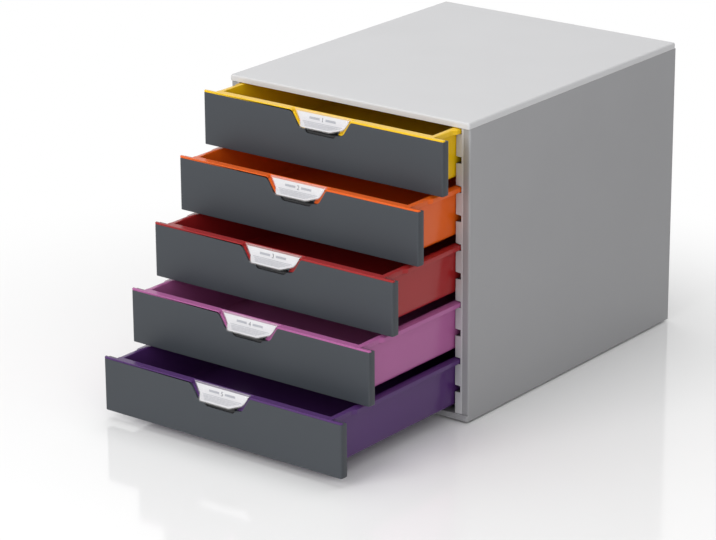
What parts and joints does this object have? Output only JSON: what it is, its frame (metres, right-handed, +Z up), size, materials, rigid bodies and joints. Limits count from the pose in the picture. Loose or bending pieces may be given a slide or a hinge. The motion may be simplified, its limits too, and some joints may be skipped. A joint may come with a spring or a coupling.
{
  "type": "drawer tower",
  "caption": "Free-standing desk drawer tower: a grey box housing with coloured trays on moulded runners, dark full-width fronts and label tongues as handles.",
  "frame": {"origin": "on the table under the middle of the housing's base; the base's rim is 2 mm above it, on rubber feet", "axes": "+Z up, the drawers open towards -Y, +X to the right of someone who stands behind the drawers' fronts looking along +Y"},
  "size_m": [0.28, 0.5404, 0.292],
  "materials": {
    "housing_top": "satin light grey, fine grain",
    "housing_side": "satin light grey, fine grain",
    "runner": "satin light grey",
    "rubber_foot": "soft black rubber",
    "drawer_front": "satin anthracite",
    "label_window": "clear, polished",
    "label_card": "white paper card",
    "tray_yellow": "glossy yellow",
    "tray_orange": "glossy orange",
    "tray_red": "glossy red",
    "tray_pink": "glossy pink",
    "tray_purple": "glossy purple"
  },
  "bodies": {
    "cabinet": {"top_cover": "housing_top", "left_side_panel": "housing_side", "right_side_panel": "housing_side", "left_runner_panel": "runner", "right_runner_panel": "runner", "base_panel": "housing_side", "back_panel": "housing_side", "rubber_feet": "rubber_foot"},
    "drawer_1": {"drawer_1_tray": "tray_yellow", "drawer_1_front": "drawer_front", "drawer_1_label_window": "label_window", "drawer_1_label_card": "label_card"},
    "drawer_2": {"drawer_2_tray": "tray_orange", "drawer_2_front": "drawer_front", "drawer_2_label_window": "label_window", "drawer_2_label_card": "label_card"},
    "drawer_3": {"drawer_3_tray": "tray_red", "drawer_3_front": "drawer_front", "drawer_3_label_window": "label_window", "drawer_3_label_card": "label_card"},
    "drawer_4": {"drawer_4_tray": "tray_pink", "drawer_4_front": "drawer_front", "drawer_4_label_window": "label_window", "drawer_4_label_card": "label_card"},
    "drawer_5": {"drawer_5_tray": "tray_purple", "drawer_5_front": "drawer_front", "drawer_5_label_window": "label_window", "drawer_5_label_card": "label_card"}
  },
  "joints": [
    {"name": "drawer_1_slide", "type": "slide", "parent": "cabinet", "child": "drawer_1", "axis": [0, -1, 0], "range_m": [-0.033, 0.217]},
    {"name": "drawer_2_slide", "type": "slide", "parent": "cabinet", "child": "drawer_2", "axis": [0, -1, 0], "range_m": [-0.07, 0.18]},
    {"name": "drawer_3_slide", "type": "slide", "parent": "cabinet", "child": "drawer_3", "axis": [0, -1, 0], "range_m": [-0.108, 0.142]},
    {"name": "drawer_4_slide", "type": "slide", "parent": "cabinet", "child": "drawer_4", "axis": [0, -1, 0], "range_m": [-0.143, 0.107]},
    {"name": "drawer_5_slide", "type": "slide", "parent": "cabinet", "child": "drawer_5", "axis": [0, -1, 0], "range_m": [-0.184, 0.066]}
  ]
}
